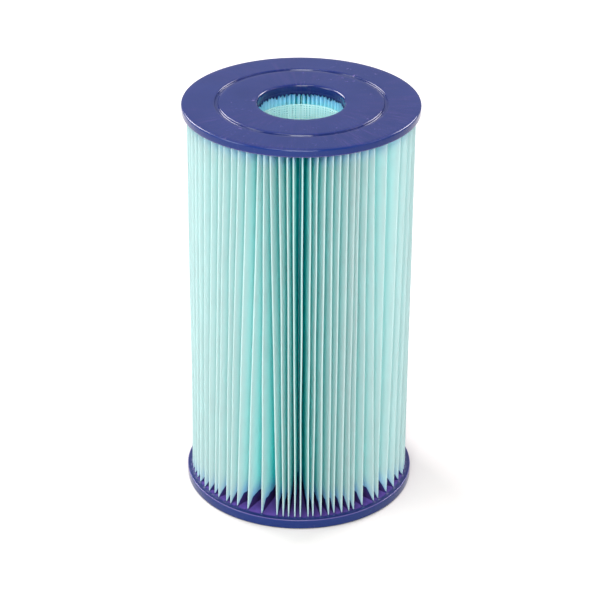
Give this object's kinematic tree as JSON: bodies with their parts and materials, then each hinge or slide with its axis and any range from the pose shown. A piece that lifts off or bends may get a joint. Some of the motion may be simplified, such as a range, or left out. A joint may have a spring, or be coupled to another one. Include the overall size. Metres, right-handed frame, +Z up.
{
  "type": "pleated filter cartridge",
  "caption": "Upright pleated filter cartridge: folded teal media in a closed ring between two soft blue annular end caps, with an open bore through the middle.",
  "frame": {"origin": "centre of the bottom cap's sealing face, which the cartridge stands on", "axes": "+Z up along the bore; -Y is the side seen at the front, +X to its right, and the media's end seam is at +Y"},
  "size_m": [0.142, 0.142, 0.254],
  "materials": {
    "end_cap": "satin soft cast plastic, violet blue",
    "media": "matt pale teal non-woven polyester, pleated",
    "seam_bead": "cloudy hot-melt bead",
    "netting": "fine pale extruded plastic net"
  },
  "bodies": {
    "root": {"top_end_cap": "end_cap", "bottom_end_cap": "end_cap", "pleated_media": "media", "media_end_seam": "seam_bead", "core_netting": "netting"}
  },
  "joints": []
}
